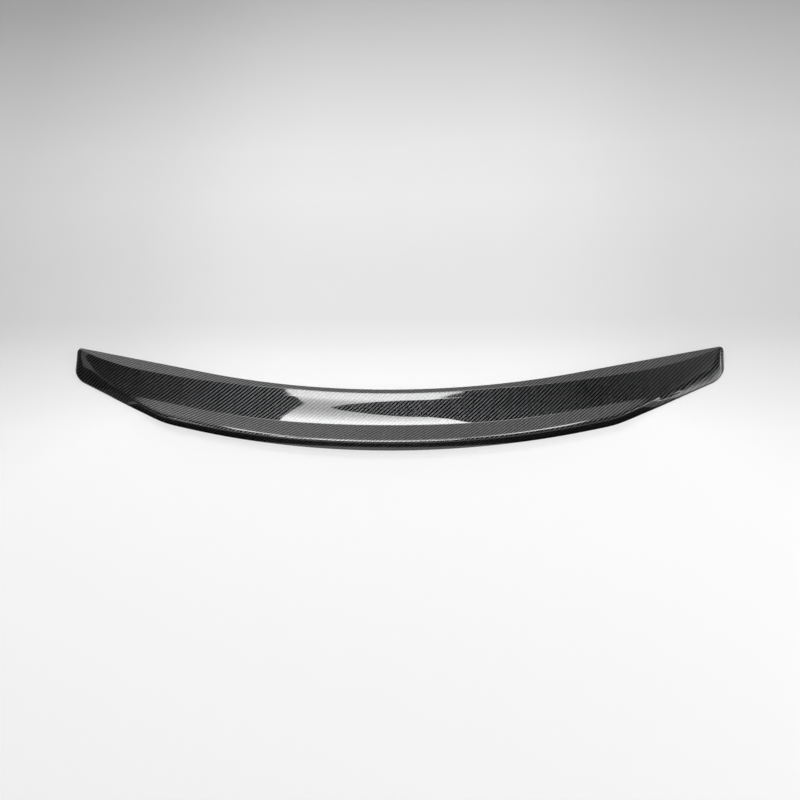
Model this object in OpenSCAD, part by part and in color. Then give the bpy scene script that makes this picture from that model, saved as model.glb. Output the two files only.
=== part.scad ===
// Boot-lid spoiler for the rear of a car, moulded in one piece as an open skin.
// The frame has +X to the right as seen from behind the car, +Y forward and +Z up.
// The flat rear rim stands on the plane z = 0 and the middle of the part is at x = 0.

/* [Plan outline] */
// Width from tip to tip
overall_width = 1150; // [1050:10:1250]
// Depth at the middle, from the leading edge to the rear face
middle_depth = 114; // [104:1:126]
// Radius of the leading edge, seen from above
leading_edge_r = 1460; // [1200:20:1800]
// Distance from the middle at which the leading edge runs on straight
straight_from = 330; // [250:10:400]
// Depth of the blunt end, from its front corner to its rear corner
tip_depth = 59; // [50:1:70]
// Angle at which the rear edge sweeps forward to the tip
tip_sweep = 28; // [24:1:32]
// Softness of the corner where the rear edge starts to sweep forward
rear_corner_soft = 5; // [3:0.5:12]
// Radius of the front corner of each blunt end, seen from above
tip_front_r = 8; // [5:1:14]
// Radius of the rear corner of each blunt end, seen from above
tip_rear_r = 22; // [12:1:28]

/* [Heights] */
// Height of the underside of the leading edge above the seat, at the middle
front_height_middle = 15; // [10:1:20]
// Height of the underside of the leading edge above the seat, at the tips
front_height_tip = 10; // [8:0.5:14]
// Height of the upright edge below the flank, where it meets the seat
rim_height = 4; // [3.5:0.25:8]

/* [Leading ramp] */
// Width of the ramp behind the leading edge, at the middle
ramp_run_middle = 11; // [8:0.5:16]
// Width of the ramp where it is widest
ramp_run_side = 26; // [20:1:32]
// Width of the ramp at the tips
ramp_run_tip = 3; // [1.5:0.5:5]
// Rise of the ramp at the middle
ramp_rise_middle = 4; // [2:0.5:6]
// Rise of the ramp where it is widest
ramp_rise_side = 7; // [4:0.5:9]
// Rise of the ramp at the tips
ramp_rise_tip = 1; // [0.5:0.25:2]
// Distance from the middle at which the ramp starts to widen
ramp_widens_from = 140; // [80:10:200]
// Distance from the tip at which the ramp is widest
ramp_widest_inboard = 135; // [110:5:180]

/* [Deck and lip] */
// Fall of the deck towards the rear
deck_angle = 7; // [3:0.5:10]
// Depth of the hollow across the deck, at the middle
deck_hollow = 1.6; // [0:0.2:3]
// Distance from the leading edge to the foot of the lip, at the middle
lip_start_middle = 71; // [64:1:78]
// Distance from the leading edge to the foot of the lip, where the lip ends
lip_start_side = 78; // [72:1:86]
// Slope of the lip at the middle, rising to the rear
lip_angle_middle = 22; // [14:1:28]
// Slope of the lip where it ends, near the tips
lip_angle_side = 17; // [10:1:24]

/* [Tip flank] */
// Distance from the tip at which the flank starts
flank_inboard = 200; // [170:5:230]
// Width of the deck that the flank leaves at the tip
deck_run_tip = 4; // [4:0.5:10]
// How late the flank widens, as a power of the way to the tip
flank_power = 1.8; // [1.5:0.1:2.4]
// How smoothly the flank rolls down from the deck: 0 is a flat flank, 1 has no crease
flank_roll = 0.9; // [0:0.1:1]
// Width of the flank from which it rolls in full
flank_roll_run = 20; // [12:1:30]

/* [Skin] */
// Thickness of the skin
wall = 2.2; // [1.6:0.1:3]
// Width of the flange that turns in at the foot of the rear face
flange_width = 12; // [6:1:18]
// Distance from the tip at which the flange has died out
flange_end_inboard = 120; // [90:5:180]
// Length over which the flange dies out
flange_fade = 60; // [30:5:90]
// Thickness of the closed end of each tip
tip_wall = 6; // [5:0.5:9]

/* [Rounding] */
// Radius of the front top edge
front_edge_r = 0.8; // [0.4:0.1:1.4]
// Radius of the crease between ramp and deck
ramp_crease_r = 2.5; // [1:0.5:5]
// Radius in the foot of the lip
lip_foot_r = 3; // [1:0.5:6]
// Radius of the trailing edge
trailing_edge_r = 3; // [1:0.5:5]
// Radius between the flank and its upright edge
rim_r = 4; // [2:0.5:6]
// Radius under the rear face, where it turns into the flange
foot_r = 4; // [2:0.5:6]
// Radius over which the top rolls down at each tip
tip_roll_r = 8; // [6:0.5:12]

/* [Hidden] */

half_width = overall_width / 2;

// Points along each feature of the outer line of a section
EDGE_POINTS = 3;
CREASE_POINTS = 4;
DECK_POINTS = 4;
FOOT_POINTS = 5;
TRAILING_POINTS = 6;
SPAN_POINTS = 2;
FLANK_POINTS = 4;

// The lip and the skin keep at least this length between two corners
MIN_SEGMENT = 3;
// The share of the height that is left standing at the end of each tip
END_STAND = 0.2;
// The smallest distance between a corner and the start of its rounding
MIN_TANGENT = 0.2;

// Sections along the half width, in four stretches
MIDDLE_STEPS = 12;
CORNER_STEPS = 12;
FLANK_STEPS = 16;
END_STEPS = 8;
end_run = max(tip_front_r, tip_rear_r, tip_roll_r);

function unit(v) = v / norm(v);
function left_of(v) = [-v.y, v.x];
function mix(a, b, t) = a + (b - a) * t;
function clamp01(t) = min(1, max(0, t));
function ease(t) = let (c = clamp01(t)) c * c * (3 - 2 * c);
function soft_max(a, b, soft) = (a + b + sqrt((a - b) ^ 2 + soft ^ 2)) / 2;
// The part of a quarter round that is left at a distance past its start
function quarter_round(past, r) = sqrt(max(0, 1 - (max(0, past) / r) ^ 2));
// What a corner of radius r takes off at a place just short of the end
function corner_loss(from_end, r) = r * (1 - quarter_round(from_end + r, r));

// Plan outline: an arc that runs on as its tangent, and the rear edge behind it
function leading_y(x) =
    let (s = min(x, straight_from), slope = s / sqrt(leading_edge_r ^ 2 - s ^ 2))
    leading_edge_r - sqrt(leading_edge_r ^ 2 - s ^ 2) + (x - s) * slope;
function swept_y(x) =
    leading_y(half_width) - tip_depth - (half_width - x) * tan(tip_sweep);
function rear_y(x) = soft_max(leading_y(x) - middle_depth, swept_y(x), rear_corner_soft);

// A value along the half width: one at the middle, one where the ramp is widest, one at the tip
function ramp_value(x, middle, side, tip) =
    let (widest = half_width - ramp_widest_inboard)
    x < widest
        ? mix(middle, side, ease((x - ramp_widens_from) / (widest - ramp_widens_from)))
        : mix(side, tip, ((x - widest) / ramp_widest_inboard) ^ 2);
function ramp_run(x) = ramp_value(x, ramp_run_middle, ramp_run_side, ramp_run_tip);
function ramp_rise(x) = ramp_value(x, ramp_rise_middle, ramp_rise_side, ramp_rise_tip);

function front_height(x) = mix(front_height_middle, front_height_tip, (x / half_width) ^ 2);
function lip_share(x) = ease(x / (half_width - ramp_widest_inboard));
function lip_start(x) = mix(lip_start_middle, lip_start_side, lip_share(x));
function lip_angle(x) = mix(lip_angle_middle, lip_angle_side, lip_share(x));
function flank_run(x) =
    (tip_depth - ramp_run_tip - deck_run_tip)
    * clamp01((x - half_width + flank_inboard) / flank_inboard) ^ flank_power;
function flange_share(x) = ease((half_width - flange_end_inboard - x) / flange_fade);

// The named corners of a section, as [y, z]
function deck_z(x, y) =
    front_height(x) + wall + ramp_rise(x) - (leading_y(x) - ramp_run(x) - y) * tan(deck_angle);
function front_foot(x) = [leading_y(x), front_height(x)];
function front_top(x) = [leading_y(x), front_height(x) + wall];
function ramp_crease(x) =
    let (y = leading_y(x) - ramp_run(x)) [y, deck_z(x, y)];
function trailing_y(x) = rear_y(x) + flank_run(x);
function lip_foot(x) =
    let (y = max(leading_y(x) - lip_start(x), trailing_y(x) + MIN_SEGMENT)) [y, deck_z(x, y)];
function trailing_edge(x) =
    let (y = trailing_y(x), run = lip_foot(x).x - y - MIN_SEGMENT)
    [y, deck_z(x, y) + run * (tan(lip_angle(x)) + tan(deck_angle))];
function rim_top(x) = [rear_y(x), rim_height];
function rim_foot(x) = [rear_y(x), 0];

// The deck sinks between its two creases, deepest half way
function deck_point(x, t) =
    let (a = ramp_crease(x), b = lip_foot(x))
    let (full = lip_start_middle - ramp_run_middle, sag = deck_hollow * ((a.x - b.x) / full) ^ 2)
    mix(a, b, t) - [0, 4 * sag * t * (1 - t)];
// The flank rises over its chord by its crown, highest half way, so that it steepens to the rim
function crown(x) =
    let (fall = trailing_edge(x).y - rim_height, spare = fall - flank_run(x) * tan(deck_angle))
    flank_roll * ease(flank_run(x) / flank_roll_run) * max(0, spare) / 4;
function flank_point(x, t) = mix(trailing_edge(x), rim_top(x), t) + [0, 4 * crown(x) * t * (1 - t)];
function flank_points(x) = [for (i = [1:FLANK_POINTS]) flank_point(x, i / (FLANK_POINTS + 1))];
// Where the tangents at both ends of the flank meet
function flank_control(x) = mix(trailing_edge(x), rim_top(x), 0.5) + [0, 2 * crown(x)];
// Points that follow the surface on the way between two corners
function between(a, b) = [for (t = [1:SPAN_POINTS]) mix(a, b, t / (SPAN_POINTS + 1))];
function deck_points(x) = [for (i = [1:DECK_POINTS]) deck_point(x, i / (DECK_POINTS + 1))];

// A true arc of radius r in the corner p between points a and b, limited by their distance
function rounded(a, p, b, r, count) =
    let (u = unit(a - p), v = unit(b - p), cosine = max(-1, min(1, u * v)))
    let (half_turn = 90 - acos(cosine) / 2, reach = 0.45 * min(norm(a - p), norm(b - p)))
    let (t = min(reach, max(MIN_TANGENT, r * tan(half_turn))), w = cos(half_turn))
    [for (i = [0:count - 1])
        let (s = i / (count - 1), k0 = (1 - s) ^ 2, k1 = 2 * s * (1 - s) * w, k2 = s ^ 2)
        (k0 * (p + u * t) + k1 * p + k2 * (p + v * t)) / (k0 + k1 + k2)];

// A corner p of the outer line moved inwards, so that both its sides move by the wall
function inset(a, p, b) =
    let (n1 = left_of(unit(p - a)), n2 = left_of(unit(b - p)))
    p + (n1 + n2) * wall / (1 + n1 * n2);

// Outer line of a section, from the foot of the leading edge over the top to the flange's end
function outer_line(x) =
    let (front = front_foot(x), top = front_top(x), crease = ramp_crease(x), deck = deck_points(x))
    let (foot = lip_foot(x), trail = trailing_edge(x), rim = rim_top(x), base = rim_foot(x))
    let (first = deck[0], last = deck[DECK_POINTS - 1], end = flange_end(x))
    let (control = flank_control(x))
    concat(
        [front],
        rounded(front, top, crease, front_edge_r, EDGE_POINTS),
        rounded(top, crease, first, ramp_crease_r, CREASE_POINTS),
        deck,
        rounded(last, foot, trail, lip_foot_r, CREASE_POINTS),
        between(foot, trail),
        rounded(foot, trail, control, trailing_edge_r, TRAILING_POINTS),
        flank_points(x),
        rounded(control, rim, base, rim_r, CREASE_POINTS),
        rounded(rim, base, end, foot_r, FOOT_POINTS),
        [end]
    );

function flange_end(x) = [rear_y(x) + mix(wall, flange_width, flange_share(x)), 0];

// Inner line of a section, from the flange's top edge back to the leading edge
function inner_line(x) =
    let (top = front_top(x), crease = ramp_crease(x), deck = deck_points(x), foot = lip_foot(x))
    let (trail = trailing_edge(x), rim = rim_top(x), base = rim_foot(x), share = flange_share(x))
    let (lip = concat([foot], between(foot, trail), [trail], flank_points(x)))
    let (line = concat([top, crease], deck, lip, [rim, base]), last = len(line) - 1)
    let (skin = [for (i = [last - 1:-1:1]) inset(line[i - 1], line[i], line[i + 1])])
    let (wall_y = rear_y(x) + wall, knee = skin[0].y)
    concat(
        [[flange_end(x).x, mix(knee / 3, wall, share)]],
        [[wall_y, mix(knee * 2 / 3, wall, share)]],
        skin
    );

// A section point set in space: towards the tip the section narrows and rolls down to its seat
function placed(x, side, p) =
    let (from_end = x - half_width, front = leading_y(x), rear = rear_y(x))
    let (rear_lost = corner_loss(from_end, tip_rear_r))
    let (squeeze = 1 - (rear_lost + corner_loss(from_end, tip_front_r)) / (front - rear))
    let (roll = quarter_round((from_end + tip_roll_r) * sqrt(1 - END_STAND ^ 2), tip_roll_r))
    let (seat = front_height(x) * clamp01((p.x - rear - wall) / (front - rear - wall)))
    [side * x, rear + rear_lost + (p.x - rear) * squeeze, seat + (p.y - seat) * roll];

// Distances from the middle at which the half width has its sections
stations = concat(
    [for (i = [0:MIDDLE_STEPS - 1]) i / MIDDLE_STEPS * straight_from],
    [for (i = [0:CORNER_STEPS - 1])
        mix(straight_from, half_width - ramp_widest_inboard, i / CORNER_STEPS)],
    [for (i = [0:FLANK_STEPS - 1])
        mix(half_width - ramp_widest_inboard, half_width - end_run, i / FLANK_STEPS)],
    [for (i = [0:END_STEPS]) half_width - end_run + end_run * sin(90 * i / END_STEPS)]
);

module spoiler_shell() {
    halves = [for (i = [len(stations) - 1:-1:1]) [stations[i], -1]];
    sides = concat(halves, [for (x = stations) [x, 1]]);
    cavity_end = half_width - tip_wall;
    inside = [for (i = [0:len(sides) - 1]) if (sides[i][0] <= cavity_end) i];
    first = inside[0];
    last = inside[len(inside) - 1];
    outer_count = len(outer_line(0));
    inner_count = len(inner_line(0));
    outer = [for (s = sides) for (p = outer_line(s[0])) placed(s[0], s[1], p)];
    inner = [for (i = inside) for (p = inner_line(sides[i][0])) placed(sides[i][0], sides[i][1], p)];

    function out(i, j) = i * outer_count + j;
    function in(i, j) =
        j == 0 ? out(i, outer_count - 1)
        : j > inner_count ? out(i, 0)
        : len(outer) + (i - first) * inner_count + j - 1;
    // Four corners as two triangles, split from a to c or from b to d
    function two(from_a, a, b, c, d) =
        from_a ? [[a, c, b], [a, d, c]] : [[a, d, b], [b, d, c]];
    // Whether a stretch is on the left, so that its triangles mirror those on the right
    function is_left(i) = sides[i][1] < 0;
    // A section's end, from its front foot
    function fan(points) = [for (j = [1:len(points) - 2]) [points[0], points[j], points[j + 1]]];
    function turned(list) = [for (j = [len(list) - 1:-1:0]) list[j]];

    top = [for (i = [0:len(sides) - 2]) for (j = [0:outer_count - 2])
        for (f = two(is_left(i), out(i, j), out(i, j + 1), out(i + 1, j + 1), out(i + 1, j))) f];
    under = [for (i = [first:last - 1]) for (j = [0:inner_count])
        for (f = two(!is_left(i), in(i, j), in(i, j + 1), in(i + 1, j + 1), in(i + 1, j))) f];
    seats = [for (i = [0:len(sides) - 2]) if (i < first || i >= last)
        for (f = two(is_left(i), out(i, outer_count - 1), out(i, 0), out(i + 1, 0),
            out(i + 1, outer_count - 1))) f];
    left_end = [for (j = [0:outer_count - 1]) out(0, j)];
    right_end = [for (j = [0:outer_count - 1]) out(len(sides) - 1, j)];
    left_cavity = [for (j = [inner_count + 1:-1:0]) in(first, j)];
    right_cavity = [for (j = [inner_count + 1:-1:0]) in(last, j)];
    ends = concat(
        fan(left_end), [for (f = fan(right_end)) turned(f)],
        [for (f = fan(left_cavity)) turned(f)], fan(right_cavity)
    );
    depths = [for (p = outer) p.y];
    color([0.12, 0.12, 0.13])
        translate([0, -(min(depths) + max(depths)) / 2, 0])
            polyhedron(points = concat(outer, inner), faces = concat(top, under, seats, ends), convexity = 8);
}

spoiler_shell();
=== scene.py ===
"""A car's boot-lid spoiler in gloss twill carbon, on a plain pale floor, in metres."""

import math

import bmesh
import bpy
from mathutils import Matrix, Vector


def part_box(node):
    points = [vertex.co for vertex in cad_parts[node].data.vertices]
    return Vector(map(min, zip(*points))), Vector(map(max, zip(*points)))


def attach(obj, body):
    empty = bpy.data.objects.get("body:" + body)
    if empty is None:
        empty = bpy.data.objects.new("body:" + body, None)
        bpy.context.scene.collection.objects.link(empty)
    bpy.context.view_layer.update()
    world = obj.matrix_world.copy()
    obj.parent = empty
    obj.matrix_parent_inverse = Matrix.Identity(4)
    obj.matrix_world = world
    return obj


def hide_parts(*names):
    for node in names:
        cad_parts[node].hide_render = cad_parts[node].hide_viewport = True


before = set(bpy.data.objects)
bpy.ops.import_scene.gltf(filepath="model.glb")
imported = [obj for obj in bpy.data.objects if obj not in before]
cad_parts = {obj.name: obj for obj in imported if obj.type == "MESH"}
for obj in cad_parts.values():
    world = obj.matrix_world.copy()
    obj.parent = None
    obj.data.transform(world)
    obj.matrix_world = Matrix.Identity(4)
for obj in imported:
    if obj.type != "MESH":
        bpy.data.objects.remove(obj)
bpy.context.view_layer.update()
shell_low, shell_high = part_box("spoiler_shell")

# The picture is taken as this many pixels square
PICTURE = 800

# Sizes of the skin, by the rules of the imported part. Slopes are rises per run
MIDDLE_DEPTH = 0.114
SKIN_SIZES = {
    "Width": shell_high.x - shell_low.x,
    "Middle depth": MIDDLE_DEPTH,
    "Leading edge radius": 1.46,
    "Straight from": 0.33,
    "Tip depth": 0.059,
    "Tip sweep": math.tan(math.radians(28)),
    "Rear corner softness": 0.005,
    "Tip front radius": 0.008,
    "Tip rear radius": 0.022,
    "Front height middle": 0.015,
    "Front height tip": 0.010,
    "Rim height": 0.004,
    "Ramp run middle": 0.011,
    "Ramp run side": 0.026,
    "Ramp run tip": 0.003,
    "Ramp rise middle": 0.004,
    "Ramp rise side": 0.007,
    "Ramp rise tip": 0.001,
    "Ramp widens from": 0.14,
    "Ramp widest inboard": 0.135,
    "Deck slope": math.tan(math.radians(7)),
    "Deck hollow": 0.0016,
    "Lip start middle": 0.071,
    "Lip start side": 0.078,
    "Lip slope middle": math.tan(math.radians(22)),
    "Lip slope side": math.tan(math.radians(17)),
    "Flank inboard": 0.2,
    "Deck run tip": 0.004,
    "Flank power": 1.8,
    "Flank roll": 0.9,
    "Flank roll run": 0.02,
    "Wall": 0.0022,
    "Flange width": 0.012,
    "Flange end inboard": 0.12,
    "Flange fade": 0.06,
    "Front edge radius": 0.0008,
    "Ramp crease radius": 0.0025,
    "Lip foot radius": 0.003,
    "Trailing edge radius": 0.003,
    "Rim radius": 0.004,
    "Foot radius": 0.004,
    "Tip roll radius": 0.008,
    "Cloth follows edge": 0.5,
    "Forward shift": shell_low.y + MIDDLE_DEPTH,
}
# The lip keeps at least this length, and a rounding at least this reach
MIN_SEGMENT = 0.003
MIN_REACH = 0.0002
# A rounding takes up at most this share of the straight on either side of it
MOST_REACH_SHARE = 0.45
# The share of the height that is left standing at each end
END_STAND = 0.2
# The tips' last stretch, and the part of it at the very end that is solid
END_RUN = 0.022
TIP_WALL = 0.006
# Stretches of the outer and inner line of a section, and the faces along each
OUTER_STRETCHES = 13
INNER_STRETCHES = 7
FACES_PER_STRETCH = 6
MIDDLE_FACES = 216
END_FACES = 8
WELD = 0.00002
SHARP_ANGLE = math.radians(38)


class Wire:
    """A socket of a node tree that takes part in sums, as a number or as a vector."""

    def __init__(self, tree, socket):
        self.tree = tree
        self.socket = socket

    def __add__(self, other):
        return self.tree.maths("ADD", self, other)

    def __radd__(self, other):
        return self.tree.maths("ADD", other, self)

    def __sub__(self, other):
        return self.tree.maths("SUBTRACT", self, other)

    def __rsub__(self, other):
        return self.tree.maths("SUBTRACT", other, self)

    def __mul__(self, other):
        return self.tree.times(self, other)

    def __rmul__(self, other):
        return self.tree.times(self, other)

    def __truediv__(self, other):
        if is_vector(self):
            return self.tree.times(self, 1 / other)
        return self.tree.maths("DIVIDE", self, other)

    def __rtruediv__(self, other):
        return self.tree.maths("DIVIDE", other, self)

    def __pow__(self, other):
        return self.tree.maths("POWER", self, other)

    def __neg__(self):
        return self.tree.times(self, -1)


def is_vector(value):
    return isinstance(value, Wire) and value.socket.type == "VECTOR"


class Tree:
    """Makes the nodes of one tree, geometry or shader."""

    def __init__(self, tree):
        self.nodes = tree.nodes
        self.links = tree.links

    def node(self, kind, settings=None, inputs=None, output=0):
        """One node: its settings first, then the values or links of its sockets."""
        made = self.nodes.new(kind)
        for name, value in (settings or {}).items():
            if name == "stops":
                set_stops(made.color_ramp, value)
            else:
                setattr(made, name, value)
        for name, value in (inputs or {}).items():
            for item in value if isinstance(value, list) else [value]:
                if isinstance(item, Wire):
                    self.links.new(item.socket, made.inputs[name])
                else:
                    made.inputs[name].default_value = item
        return Wire(self, made.outputs[output])

    def maths(self, operation, *values):
        vectors = any(is_vector(v) for v in values)
        kind = "ShaderNodeVectorMath" if vectors else "ShaderNodeMath"
        return self.node(kind, {"operation": operation}, dict(enumerate(values)))

    def measure(self, operation, *values):
        """A number worked out from vectors, such as a length."""
        inputs = dict(enumerate(values))
        return self.node("ShaderNodeVectorMath", {"operation": operation}, inputs, "Value")

    def times(self, a, b):
        if is_vector(a) and not is_vector(b):
            return self.node("ShaderNodeVectorMath", {"operation": "SCALE"}, {0: a, "Scale": b})
        if is_vector(b) and not is_vector(a):
            return self.times(b, a)
        return self.maths("MULTIPLY", a, b)

    def vector(self, x, y, z):
        return self.node("ShaderNodeCombineXYZ", inputs={"X": x, "Y": y, "Z": z})

    def parts(self, vector):
        made = self.node("ShaderNodeSeparateXYZ", inputs={0: vector})
        return [Wire(self, s) for s in made.socket.node.outputs]


def set_stops(ramp, stops):
    """A colour ramp's stops, in place of the two that it starts with."""
    while len(ramp.elements) > 1:
        ramp.elements.remove(ramp.elements[-1])
    ramp.elements[0].position, ramp.elements[0].color = stops[0]
    for place, colour in stops[1:]:
        ramp.elements.new(place).color = colour


def sqrt(value):
    return value.tree.maths("SQRT", value)


def least(a, b):
    return a.tree.maths("MINIMUM", a, b)


def most(a, b):
    return a.tree.maths("MAXIMUM", a, b)


def floor(value):
    return value.tree.maths("FLOOR", value)


def below(a, b):
    return a.tree.maths("LESS_THAN", a, b)


def above(a, b):
    return a.tree.maths("GREATER_THAN", a, b)


def clamp01(value):
    return least(most(value, 0), 1)


def mix(a, b, t):
    return a + (b - a) * t


def ease(value):
    c = clamp01(value)
    return c * c * (3 - 2 * c)


def soft_most(a, b, soft):
    gap = a - b
    return (a + b + sqrt(gap * gap + soft * soft)) * 0.5


def unit(vector):
    return vector.tree.maths("NORMALIZE", vector)


def length(vector):
    return vector.tree.measure("LENGTH", vector)


def dot(a, b):
    return a.tree.measure("DOT_PRODUCT", a, b)


def left_of(vector):
    _, y, z = vector.tree.parts(vector)
    return vector.tree.vector(0, -z, y)


class Section:
    """The named corners of the skin's section at the distance x from the middle."""

    def __init__(self, tree, size, x):
        self.tree, self.size, self.x = tree, size, x
        self.half = size["Width"] * 0.5
        widest = self.half - size["Ramp widest inboard"]
        self.lead = self.leading(x)
        swept = self.leading(self.half) - size["Tip depth"] - (self.half - x) * size["Tip sweep"]
        self.rear = soft_most(self.lead - size["Middle depth"], swept, size["Rear corner softness"])
        self.front_height = mix(
            size["Front height middle"], size["Front height tip"], (x / self.half) ** 2
        )
        widening = ease((x - size["Ramp widens from"]) / (widest - size["Ramp widens from"]))
        narrowing = clamp01((x - widest) / size["Ramp widest inboard"]) ** 2
        self.run = self.three(widening, narrowing, "Ramp run")
        self.rise = self.three(widening, narrowing, "Ramp rise")
        share = ease(x / widest)
        lip_start = mix(size["Lip start middle"], size["Lip start side"], share)
        lip_slope = mix(size["Lip slope middle"], size["Lip slope side"], share)
        flank_way = clamp01((x - self.half + size["Flank inboard"]) / size["Flank inboard"])
        flank = size["Tip depth"] - size["Ramp run tip"] - size["Deck run tip"]
        flank_run = flank * flank_way ** size["Flank power"]
        trailing_y = self.rear + flank_run
        flange_way = (self.half - size["Flange end inboard"] - x) / size["Flange fade"]
        self.flange_share = ease(flange_way)

        self.front = self.at(self.lead, self.front_height)
        self.top = self.at(self.lead, self.front_height + size["Wall"])
        crease_y = self.lead - self.run
        self.crease = self.at(crease_y, self.deck_z(crease_y))
        foot_y = most(self.lead - lip_start, trailing_y + MIN_SEGMENT)
        self.foot = self.at(foot_y, self.deck_z(foot_y))
        lip_run = foot_y - trailing_y - MIN_SEGMENT
        climb = lip_run * (lip_slope + size["Deck slope"])
        self.trail = self.at(trailing_y, self.deck_z(trailing_y) + climb)
        self.rim = self.at(self.rear, size["Rim height"])
        self.base = self.at(self.rear, 0)
        flange = mix(size["Wall"], size["Flange width"], self.flange_share)
        self.end = self.at(self.rear + flange, 0)
        full = size["Lip start middle"] - size["Ramp run middle"]
        self.sag = size["Deck hollow"] * ((crease_y - foot_y) / full) ** 2
        fall = self.deck_z(trailing_y) + climb - size["Rim height"]
        spare = most(fall - flank_run * size["Deck slope"], 0)
        self.crown = size["Flank roll"] * ease(flank_run / size["Flank roll run"]) * spare / 4

    def at(self, y, z):
        return self.tree.vector(0, y, z)

    def leading(self, x):
        r = self.size["Leading edge radius"]
        s = least(x, self.size["Straight from"])
        drop = sqrt(r * r - s * s)
        return r - drop + (x - s) * s / drop

    def three(self, widening, narrowing, name):
        size = self.size
        side = mix(size[name + " middle"], size[name + " side"], widening)
        return mix(side, size[name + " tip"], narrowing)

    def deck_z(self, y):
        level = self.front_height + self.size["Wall"] + self.rise
        return level - (self.lead - self.run - y) * self.size["Deck slope"]


class Line:
    """A line of stretches that follow one another, each run through in one unit of its way."""

    def __init__(self, way, start):
        self.way, self.place, self.count = way, start, 0
        self.last, self.run = start, 0

    def share(self):
        share = clamp01(self.way - self.count)
        self.count += 1
        return share

    def straight(self, to, sag=None):
        """Straight on to a point, sinking by sag half way."""
        share = self.share()
        step = (to - self.last) * share
        if sag is not None:
            tree = to.tree
            step = step - tree.vector(0, 0, 4 * sag * share * (1 - share))
        self.place = self.place + step
        self.run = length(to - self.last) * share + self.run
        self.last = to

    def round(self, corner):
        """Through a rounded corner, as a true arc."""
        p, u, v, reach, weight = corner
        share = self.share()
        back = 1 - share
        k0, k1, k2 = back * back, 2 * share * back * weight, share * share
        arc = (u * (k0 / (k0 + k1 + k2)) + v * (k2 / (k0 + k1 + k2)) - u) * reach
        self.place = self.place + arc
        self.run = reach * (2 + 4 * weight) / 3 * share + self.run
        self.last = p + v * reach


def corner(a, p, b, radius):
    """A corner p between a and b: its two directions, the reach of its rounding, and its weight."""
    u, v = unit(a - p), unit(b - p)
    cosine = dot(u, v)
    room = MOST_REACH_SHARE * least(length(a - p), length(b - p))
    reach = least(room, most(radius * sqrt((1 + cosine) / (1 - cosine)), MIN_REACH))
    return p, u, v, reach, sqrt((1 - cosine) / 2)


def starts_at(rounding):
    p, u, _, reach, _ = rounding
    return p + u * reach


def inset(a, p, b, wall):
    """A corner moved inwards, so that both its sides move by the wall."""
    n1, n2 = left_of(unit(p - a)), left_of(unit(b - p))
    return p + (n1 + n2) * (wall / (1 + dot(n1, n2)))


def outer_line(s, way):
    """From the foot of the leading edge over the top to the flange's end."""
    size = s.size
    down = s.tree.vector(0, 0, 4 * s.sag)
    deck_in = s.crease + (s.foot - s.crease - down) * 0.5
    deck_out = s.foot + (s.crease - s.foot - down) * 0.5
    flank = (s.trail + s.rim) * 0.5 + s.tree.vector(0, 0, 2 * s.crown)
    rounded = [
        (corner(s.front, s.top, s.crease, size["Front edge radius"]), None),
        (corner(s.top, s.crease, deck_in, size["Ramp crease radius"]), None),
        (corner(deck_out, s.foot, s.trail, size["Lip foot radius"]), s.sag),
        (corner(s.foot, s.trail, flank, size["Trailing edge radius"]), None),
        (corner(flank, s.rim, s.base, size["Rim radius"]), -s.crown),
        (corner(s.rim, s.base, s.end, size["Foot radius"]), None),
    ]
    line = Line(way, s.front)
    for rounding, sag in rounded:
        line.straight(starts_at(rounding), sag)
        line.round(rounding)
    line.straight(s.end)
    return line


def inner_line(s, line):
    """On from the flange's end along the inside, back to the foot of the leading edge."""
    wall = s.size["Wall"]
    skin = [
        inset(s.trail, s.rim, s.base, wall),
        inset(s.foot, s.trail, s.rim, wall),
        inset(s.crease, s.foot, s.trail, wall),
        inset(s.top, s.crease, s.foot, wall),
    ]
    knee = s.tree.parts(skin[0])[2]
    end_y = s.tree.parts(s.end)[1]
    line.straight(s.at(end_y, mix(knee / 3, wall, s.flange_share)))
    line.straight(s.at(s.rear + wall, mix(knee * 2 / 3, wall, s.flange_share)))
    line.straight(skin[0])
    line.straight(skin[1], -s.crown)
    line.straight(skin[2])
    line.straight(skin[3], s.sag)
    line.straight(s.front)
    return line


def quarter_round(past, radius):
    share = most(past, 0) / radius
    return sqrt(most(1 - share * share, 0))


def corner_loss(from_end, radius):
    """What a corner of this radius takes off just short of the end."""
    return radius * (1 - quarter_round(from_end + radius, radius))


def placed(s, point):
    """A section point in space: near the end the section narrows and rolls down to its seat."""
    _, y, z = s.tree.parts(point)
    size = s.size
    from_end = s.x - s.half
    rear_lost = corner_loss(from_end, size["Tip rear radius"])
    depth = s.lead - s.rear
    squeeze = 1 - (rear_lost + corner_loss(from_end, size["Tip front radius"])) / depth
    roll_r = size["Tip roll radius"]
    roll = quarter_round((from_end + roll_r) * math.sqrt(1 - END_STAND**2), roll_r)
    wall = size["Wall"]
    seat = s.front_height * clamp01((y - s.rear - wall) / (depth - wall))
    forward = s.rear + rear_lost + (y - s.rear) * squeeze + size["Forward shift"]
    return s.tree.vector(s.x, forward, seat + (z - seat) * roll)


def half_grid(tree, first, last, columns, is_end, is_solid):
    """A grid whose points hold the distance from the middle, the way round the section, and is_solid."""
    rounds = OUTER_STRETCHES + INNER_STRETCHES
    counts = {"Vertices X": columns + 1, "Vertices Y": rounds * FACES_PER_STRETCH + 1}
    grid = tree.node("GeometryNodeMeshGrid", inputs={"Size X": 1.0, "Size Y": 1.0, **counts})
    u, v, _ = tree.parts(tree.node("GeometryNodeInputPosition"))
    along = mix(first, last, u + 0.5)
    if is_end:
        along = tree.maths("SINE", along)
    return tree.node(
        "GeometryNodeSetPosition",
        inputs={"Geometry": grid, "Position": tree.vector(along, (v + 0.5) * rounds, is_solid)},
    )


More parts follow.
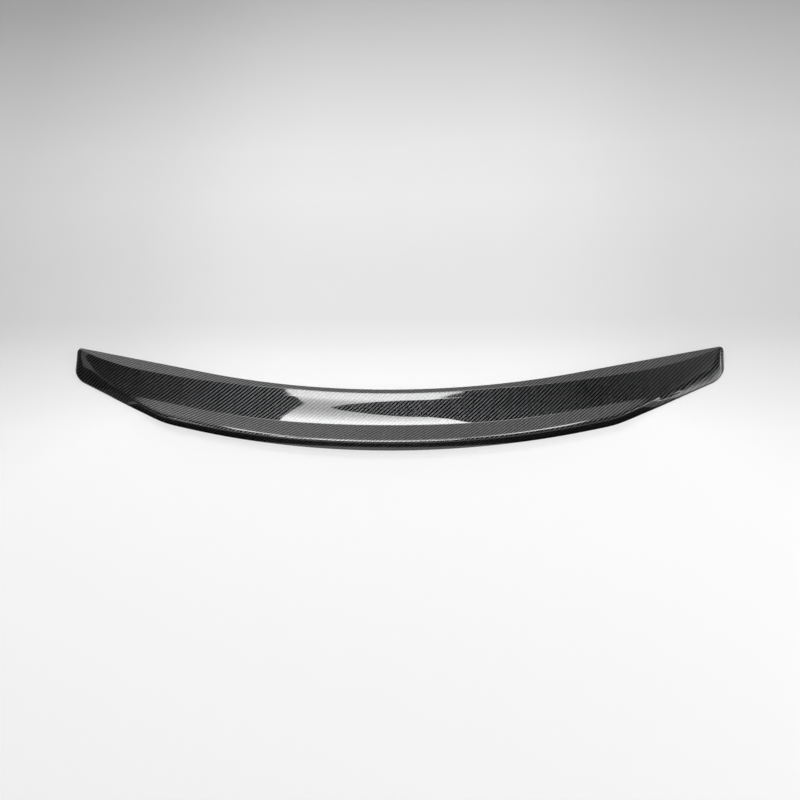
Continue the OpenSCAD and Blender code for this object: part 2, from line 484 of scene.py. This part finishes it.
def skin_tree(material):
    """The skin as a rule: its sections' corners are worked out from the named sizes."""
    group = bpy.data.node_groups.new("spoiler_skin", "GeometryNodeTree")
    tree = Tree(group)
    group.interface.new_socket("Geometry", in_out="OUTPUT", socket_type="NodeSocketGeometry")
    for name in SKIN_SIZES:
        group.interface.new_socket(name, in_out="INPUT", socket_type="NodeSocketFloat")
    source = tree.nodes.new("NodeGroupInput")
    size = {name: Wire(tree, source.outputs[name]) for name in SKIN_SIZES}

    half = size["Width"] * 0.5
    solid_from = math.asin(1 - TIP_WALL / END_RUN)
    stretches = [
        half_grid(tree, 0, half - END_RUN, MIDDLE_FACES, False, 0),
        half_grid(tree, 0, solid_from, END_FACES, True, 0),
        half_grid(tree, solid_from, math.pi / 2, END_FACES, True, 1),
    ]
    for i in (1, 2):
        x, way, solid = tree.parts(tree.node("GeometryNodeInputPosition"))
        ends = tree.vector(half - END_RUN + x * END_RUN, way, solid)
        stretches[i] = tree.node(
            "GeometryNodeSetPosition", inputs={"Geometry": stretches[i], "Position": ends}
        )
    grid = tree.node("GeometryNodeJoinGeometry", inputs={"Geometry": stretches})

    x, way, solid = tree.parts(tree.node("GeometryNodeInputPosition"))
    s = Section(tree, size, x)
    line = outer_line(s, way)
    outer_place = line.place
    inner_line(s, line)
    seat_share = clamp01((way - OUTER_STRETCHES) / INNER_STRETCHES)
    seat_place = outer_place + (s.front - s.end) * seat_share
    place = mix(line.place, seat_place, solid)
    inside = above(way, OUTER_STRETCHES)

    follow = size["Cloth follows edge"]
    straight_part = (1 - follow) * (s.lead - size["Middle depth"])
    across = straight_part - line.run
    cloth = tree.vector(x, across, inside)
    woven = tree.node(
        "GeometryNodeStoreNamedAttribute",
        {"data_type": "FLOAT_VECTOR", "domain": "POINT"},
        {"Geometry": grid, "Name": "cloth", "Value": cloth},
    )
    right = tree.node(
        "GeometryNodeSetPosition", inputs={"Geometry": woven, "Position": placed(s, place)}
    )

    turned = tree.node("GeometryNodeTransform", inputs={"Geometry": right, "Scale": (-1, 1, 1)})
    turned = tree.node("GeometryNodeFlipFaces", inputs={"Mesh": turned})
    stored = tree.node(
        "GeometryNodeInputNamedAttribute", {"data_type": "FLOAT_VECTOR"}, {"Name": "cloth"}
    )
    cloth_x, cloth_y, cloth_inside = tree.parts(stored)
    left = tree.node(
        "GeometryNodeStoreNamedAttribute",
        {"data_type": "FLOAT_VECTOR", "domain": "POINT"},
        {"Geometry": turned, "Name": "cloth", "Value": tree.vector(-cloth_x, cloth_y, cloth_inside)},
    )
    both = tree.node("GeometryNodeJoinGeometry", inputs={"Geometry": [left, right]})
    welded = tree.node("GeometryNodeMergeByDistance", inputs={"Geometry": both, "Distance": WELD})
    whole = tree.node("GeometryNodeRealizeInstances", inputs={"Geometry": welded})
    done = tree.node("GeometryNodeSetMaterial", inputs={"Geometry": whole, "Material": material})
    sink = tree.nodes.new("NodeGroupOutput")
    tree.links.new(done.socket, sink.inputs["Geometry"])
    return group


def set_inputs(modifier, values):
    """A modifier's inputs, set by the identifiers of their sockets."""
    for item in modifier.node_group.interface.items_tree:
        if item.item_type == "SOCKET" and item.in_out == "INPUT" and item.name in values:
            modifier[item.identifier] = values[item.name]


def plain_mesh(piece):
    """Turns what the modifiers make into the object's own mesh, and removes them."""
    graph = bpy.context.evaluated_depsgraph_get()
    mesh = bpy.data.meshes.new_from_object(piece.evaluated_get(graph))
    piece.modifiers.clear()
    piece.data = mesh
    return mesh


def close_ends(mesh):
    """Closes the ends of the tips and of the hollow, and turns every face outwards."""
    work = bmesh.new()
    work.from_mesh(mesh)
    edges = [e for e in work.edges if e.is_boundary]
    bmesh.ops.holes_fill(work, edges=edges, sides=0)
    bmesh.ops.recalc_face_normals(work, faces=work.faces)
    for face in work.faces:
        face.smooth = True
    work.to_mesh(mesh)
    work.free()
    mesh.set_sharp_from_angle(angle=SHARP_ANGLE)


def spoiler_skin(material):
    mesh = bpy.data.meshes.new("spoiler_skin")
    piece = bpy.data.objects.new("spoiler_skin", mesh)
    bpy.context.scene.collection.objects.link(piece)
    modifier = piece.modifiers.new("skin", "NODES")
    modifier.node_group = skin_tree(material)
    set_inputs(modifier, SKIN_SIZES)
    close_ends(plain_mesh(piece))
    return piece


def grey(shade):
    return (shade, shade, shade, 1)


def bare_material(name):
    material = bpy.data.materials.new(name)
    material.use_nodes = True
    material.node_tree.nodes.clear()
    return material, Tree(material.node_tree)


def finish_material(tree, shader, kind="ShaderNodeOutputMaterial"):
    output = tree.nodes.new(kind)
    tree.links.new(shader.socket, output.inputs["Surface"])


def profile(tree, stops, way):
    """A number that follows a way, as places on it and values."""
    peak = max(value for at, value in stops)
    shades = [(at, grey(value / peak)) for at, value in stops]
    return tree.node("ShaderNodeValToRGB", {"stops": shades}, {"Fac": way}) * peak


def place_on(tree):
    return tree.parts(tree.node("ShaderNodeTexCoord", output="Object"))


# Finish of the cloth: the tows' width, the two directions' colours, and how high a tow stands. The
# warp's brighter, metallic colour is partly painted sheen, a fixed stand-in for the sheen that carbon
# fibres show as light falls across them
TOW = 0.0019
WARP_COLOUR_AND_SHEEN = (0.035, 0.0356, 0.0366, 1)
WEFT_COLOUR = (0.003, 0.003, 0.0032, 1)
CROWN_HEIGHT = 0.00007
HUMP_HEIGHT = 0.00003
# How much the shade varies from tow to tow, and in soft patches of the cloth
TOW_SHADE_SPREAD = 0.25
PATCH_SPREAD = 0.3
PATCH_SCALE = 14
PATCH_DETAIL = 3.0
# In a 2x2 twill each tow passes over two and under two
OVER_TWO = 2
CLOTH_ROUGHNESS = 0.33
# The clear coat, and the share of it that the inside lacks
COAT_ROUGHNESS = 0.025
COAT_IOR = 1.5
INSIDE_BARE = 0.8


def twill(tree, along, across):
    """2x2 twill: whether the warp is on top, and the height and number of the tow that shows."""
    a, b = along / TOW, across / TOW
    column, row = floor(a), floor(b)
    phase = tree.maths("FLOORED_MODULO", row - column, OVER_TWO * 2.0)
    warp = below(phase, OVER_TWO - 0.5)
    beside_warp, beside_weft = a - column - 0.5, b - row - 0.5
    way_warp = (phase + b - row) / OVER_TWO
    way_weft = (phase - OVER_TWO + 1 - (a - column)) / OVER_TWO
    beside = mix(beside_weft, beside_warp, warp)
    way = mix(way_weft, way_warp, warp)
    crown = 1 - beside * beside * 4
    hump = clamp01(way * (1 - way) * 4)
    number = mix(row, column + 0.5, warp)
    return warp, crown * CROWN_HEIGHT + hump * HUMP_HEIGHT, number


def carbon():
    """2x2 twill carbon cloth under a clear gloss coat, of which the inside has only a small share."""
    material, tree = bare_material("gloss_carbon")
    cloth = tree.node("ShaderNodeAttribute", {"attribute_name": "cloth"}, output="Vector")
    along, across, inside = tree.parts(cloth)
    warp, height, number = twill(tree, along, across)
    tow_shade = tree.node("ShaderNodeTexWhiteNoise", {"noise_dimensions": "1D"}, {"W": number})
    patch = tree.node(
        "ShaderNodeTexNoise", inputs={"Vector": cloth, "Scale": PATCH_SCALE, "Detail": PATCH_DETAIL}
    )
    shade = 1 + (tow_shade - 0.5) * TOW_SHADE_SPREAD + (patch - 0.5) * PATCH_SPREAD
    # Painted sheen, in part: where the warp is on top the cloth takes the brighter warp colour,
    # whichever way the light falls
    colour = tree.node(
        "ShaderNodeMix",
        {"data_type": "RGBA"},
        {"Factor": warp, 6: WEFT_COLOUR, 7: WARP_COLOUR_AND_SHEEN},
        2,
    )
    shaded = tree.node("ShaderNodeVectorMath", {"operation": "SCALE"}, {0: colour, "Scale": shade})
    bump = tree.node("ShaderNodeBump", inputs={"Height": height, "Distance": 1.0, "Strength": 1.0})
    shader = tree.node(
        "ShaderNodeBsdfPrincipled",
        inputs={
            "Base Color": shaded,
            "Metallic": warp,
            "Roughness": CLOTH_ROUGHNESS,
            "Specular IOR Level": 0.0,
            "Normal": bump,
            "Coat Weight": 1 - inside * INSIDE_BARE,
            "Coat Roughness": COAT_ROUGHNESS,
            "Coat IOR": COAT_IOR,
        },
    )
    finish_material(tree, shader)
    return material


# Stage
FLOOR_SIZE = 30
# The floor's shade along +Y, from behind the object to far beyond it, and towards both sides: painted
# shade in its colour, which darkens it towards the back and the sides
FLOOR_START, FLOOR_LENGTH = -0.2, 1.4
FLOOR_STOPS = (
    (0.0, 1.22),
    (0.1, 1.14),
    (0.16, 1.02),
    (0.21, 0.92),
    (0.24, 0.84),
    (0.27, 0.79),
    (0.36, 0.785),
    (0.48, 0.81),
    (0.57, 0.785),
    (0.67, 0.70),
    (0.78, 0.60),
    (0.88, 0.50),
    (1.0, 0.44),
)
SIDE_START, SIDE_LENGTH = 0.2, 0.6
SIDE_STOPS = ((0.0, 1.0), (0.2, 0.97), (0.5, 0.875), (1.0, 0.78))
# How much of the floor's shade shows without the studio's light
EVEN_SHARE = 0.65
# The studio's walls by the sine of the elevation, and how their light changes from -X to +X
SKY_STOPS = ((0.0, 1.45), (0.46, 1.45), (0.56, 0.12), (1.0, 0.1))
SKY_SIDE_STOPS = (
    (0.08, 0.15),
    (0.2, 1.25),
    (0.4, 1.2),
    (0.44, 0.85),
    (0.48, 0.8),
    (0.53, 0.9),
    (1.0, 0.85),
)
# Softboxes hang level at this height. The overhead one has a deep notch in its right side
BOX_HEIGHT = 1.5
OVERHEAD_BOX = (
    (-0.49, 0.15),
    (-0.519, 0.296),
    (-0.535, 0.304),
    (-0.519, 0.311),
    (-0.507, 0.325),
    (-0.494, 0.4),
    (-0.49, 0.44),
    (-0.5, 0.51),
    (-0.514, 0.628),
    (-0.527, 0.733),
    (-0.534, 0.822),
    (-0.545, 0.95),
    (0.1, 0.95),
    (0.056, 0.86),
    (0.003, 0.717),
    (-0.058, 0.648),
    (-0.158, 0.621),
    (-0.242, 0.578),
    (-0.363, 0.508),
    (-0.4, 0.462),
    (-0.327, 0.384),
    (-0.235, 0.335),
    (-0.143, 0.308),
    (-0.033, 0.306),
    (0.003, 0.297),
    (0.09, 0.298),
    (0.09, 0.2955),
    (0.04, 0.29),
    (0.0, 0.284),
    (-0.03, 0.15),
)
RIGHT_BOX = ((2.0, -0.9), (2.0, 0.9), (3.6, 0.9), (3.6, -2.2), (2.9, -2.2), (2.9, -0.9))
FAR_STRIP = ((-0.62, 1.35), (0.12, 1.35), (0.2, 2.6), (-0.85, 2.6))
DIM_BOX = ((0.42, 0.1), (1.36, 0.1), (1.36, 1.1), (0.42, 1.1))
LEFT_BOX = (
    (-1.5, 0.36),
    (-1.5, 0.47),
    (-1.7, 0.47),
    (-1.72, 0.6),
    (-1.7, 0.85),
    (-2.0, 0.85),
    (-2.0, 0.62),
    (-1.82, 0.5),
    (-1.75, 0.38),
)
REAR_STRIP = ((-0.7, -0.15), (0.19, -0.15), (0.19, -0.8), (-0.78, -0.8))
LEFT_STRIP = ((-1.3, -0.5), (-1.4, -0.5), (-1.8, -1.7), (-1.5, -1.7))
OVERHEAD_STOPS = (
    (0.15, 12),
    (0.28, 18),
    (0.31, 15),
    (0.35, 10),
    (0.4, 7.5),
    (0.52, 7),
    (0.62, 10),
    (0.78, 20),
)


def even_glow(strength):
    """The glow of a box that is as strong all over."""
    return ((0.0, strength),), 0.0, 1.0, "X"


# Each box: its corners, its strengths as places and values, where they start, how far they run and along
# which axis
BOXES = {
    "overhead_box": (OVERHEAD_BOX, OVERHEAD_STOPS, 0.0, 1.0, "Y"),
    "right_box": (RIGHT_BOX, *even_glow(7.0)),
    "dim_box": (DIM_BOX, ((0.0, 0.0), (0.3, 0.35), (1.0, 0.8)), 0.42, 0.95, "X"),
    "left_box": (LEFT_BOX, *even_glow(1.0)),
}
# Strips that light only what shines
STRIPS = {
    "far_strip": (FAR_STRIP, *even_glow(11)),
    "rear_strip": (REAR_STRIP, *even_glow(22)),
    "left_strip": (LEFT_STRIP, *even_glow(14)),
}
# A small softbox hangs beside the right tip for what shines, stronger in steps away from its edge
TIP_HEIGHT = 0.1
TIP_EDGE = (
    (0.69, 0.1),
    (0.656, 0.098),
    (0.63, 0.085),
    (0.615, 0.075),
    (0.603, 0.064),
    (0.594, 0.042),
    (0.588, 0.025),
    (0.586, 0.008),
    (0.588, -0.012),
    (0.596, -0.036),
    (0.607, -0.06),
    (0.632, -0.1),
    (0.66, -0.112),
    (0.69, -0.112),
)
# Each step: how far its edge is moved towards -Y, and its strength. It moves a share of that towards +X,
# and hangs a little below the one before
TIP_STEPS = ((0.0, 1.2), (0.008, 2.4), (0.018, 3.6), (0.03, 4.6))
TIP_STEP_LEAN = 0.3
TIP_STEP_DROP = 0.001
# A dark curved card on the floor along the foot of the rear face, which only what shines sees: painted
# shade, standing in for the shaded floor there as the rear face reflects it
CARD_HEIGHT = 0.0004
CARD_PAINTED_SHADE = 0.06
CARD_BACK, CARD_FRONT = -0.1225, -0.1105
CARD_BACK_BEND, CARD_FRONT_BEND = 0.34, 0.464
CARD_HALF = 0.5
CARD_HALF_STEPS = 10


def floor_material():
    """Matt paper, paler towards the camera, with painted shade that darkens it towards the back and both
    sides. Part of its shade shows without the studio's light.
    """
    material, tree = bare_material("floor")
    x, y, _ = place_on(tree)
    from_middle = tree.maths("ABSOLUTE", x)
    shade = profile(tree, FLOOR_STOPS, (y - FLOOR_START) / FLOOR_LENGTH)
    shade = least(shade * profile(tree, SIDE_STOPS, (from_middle - SIDE_START) / SIDE_LENGTH), 1)
    matt = tree.node("ShaderNodeBsdfDiffuse", inputs={"Color": shade})
    even = tree.node("ShaderNodeEmission", inputs={"Strength": shade})
    by_camera = tree.node("ShaderNodeLightPath", output="Is Camera Ray")
    by_gloss = tree.node("ShaderNodeLightPath", output="Is Glossy Ray")
    share = most(by_camera, by_gloss) * EVEN_SHARE
    finish_material(tree, tree.node("ShaderNodeMixShader", inputs={0: share, 1: matt, 2: even}))
    return material


def glow_material(name, stops, start, run, axis):
    """A softbox's cloth, that glows by its place along one axis."""
    material, tree = bare_material(name)
    place = place_on(tree)["XY".index(axis)]
    strength = profile(tree, stops, (place - start) / run)
    finish_material(tree, tree.node("ShaderNodeEmission", inputs={"Strength": strength}))
    return material


def painted_shade_card_material():
    material, tree = bare_material("card")
    # Painted shade: a near-black sheet that only reflections see
    finish_material(tree, tree.node("ShaderNodeBsdfDiffuse", inputs={"Color": grey(CARD_PAINTED_SHADE)}))
    return material


def flat_piece(name, corners, height, material):
    mesh = bpy.data.meshes.new(name)
    mesh.from_pydata([(x, y, height) for x, y in corners], [], [list(range(len(corners)))])
    piece = bpy.data.objects.new(name, mesh)
    mesh.materials.append(material)
    bpy.context.scene.collection.objects.link(piece)
    return piece


def sky():
    world = bpy.data.worlds.new("studio")
    world.use_nodes = True
    world.node_tree.nodes.clear()
    tree = Tree(world.node_tree)
    x, _, z = tree.parts(tree.node("ShaderNodeTexCoord", output="Generated"))
    strength = profile(tree, SKY_STOPS, z) * profile(tree, SKY_SIDE_STOPS, (x + 1) / 2)
    shader = tree.node("ShaderNodeBackground", inputs={"Strength": strength})
    finish_material(tree, shader, "ShaderNodeOutputWorld")
    bpy.context.scene.world = world


def show_to_gloss_only(piece):
    piece.visible_camera = False
    piece.visible_diffuse = False
    piece.visible_shadow = False


def tip_softbox():
    """The small softbox beside the right tip, as steps that each hide part of the one above."""
    for i, (shift, strength) in enumerate(TIP_STEPS):
        name = f"tip_step_{i}"
        corners = [(x + shift * TIP_STEP_LEAN, y - shift) for x, y in TIP_EDGE]
        glow = glow_material(name, *even_glow(strength))
        show_to_gloss_only(flat_piece(name, corners, TIP_HEIGHT - i * TIP_STEP_DROP, glow))


def painted_shade_card():
    """The curved card on the floor along the foot of the rear face: painted shade, seen only in
    reflections.
    """
    steps = range(-CARD_HALF_STEPS, CARD_HALF_STEPS + 1)
    xs = [CARD_HALF * step / CARD_HALF_STEPS for step in steps]
    back = [(x, CARD_BACK + CARD_BACK_BEND * x * x) for x in xs]
    front = [(x, CARD_FRONT + CARD_FRONT_BEND * x * x) for x in reversed(xs)]
    show_to_gloss_only(flat_piece("card", back + front, CARD_HEIGHT, painted_shade_card_material()))


def studio():
    half = FLOOR_SIZE / 2
    floor_corners = ((-half, -half), (half, -half), (half, half), (-half, half))
    flat_piece("floor", floor_corners, 0, floor_material())
    for name, (corners, *glow) in {**BOXES, **STRIPS}.items():
        box = flat_piece(name, corners, BOX_HEIGHT, glow_material(name, *glow))
        box.visible_camera = False
        box.visible_diffuse = name in BOXES
    tip_softbox()
    painted_shade_card()
    sky()


# Camera
CAMERA_ELEVATION = math.radians(56.1)
CAMERA_TURN = math.radians(-12)
CAMERA_ROLL = math.radians(-9.9)
CAMERA_DISTANCE = 2.316
FOCAL_PIXELS = 1343
SENSOR = 36
AIM = Vector((0.0221, -0.0066, 0.010))


def camera():
    """Stands behind the car and looks down on the spoiler, turned and rolled as in the picture."""
    level = math.cos(CAMERA_ELEVATION)
    forward = Vector(
        (math.sin(CAMERA_TURN) * level, math.cos(CAMERA_TURN) * level, -math.sin(CAMERA_ELEVATION))
    )
    right = Vector((math.cos(CAMERA_TURN), -math.sin(CAMERA_TURN), 0))
    up = right.cross(forward)
    roll = Matrix.Rotation(CAMERA_ROLL, 3, -forward)
    right, up = roll @ right, roll @ up
    data = bpy.data.cameras.new("camera")
    data.sensor_width = SENSOR
    data.lens = FOCAL_PIXELS / PICTURE * SENSOR
    made = bpy.data.objects.new("camera", data)
    place = AIM - forward * CAMERA_DISTANCE
    turn = Matrix((right, up, -forward)).transposed().to_4x4()
    made.matrix_world = Matrix.Translation(place) @ turn
    bpy.context.scene.collection.objects.link(made)
    bpy.context.scene.camera = made


camera()
studio()
skin = spoiler_skin(carbon())
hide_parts("spoiler_shell")
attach(skin, "root")

bpy.context.scene.view_settings.view_transform = "Standard"
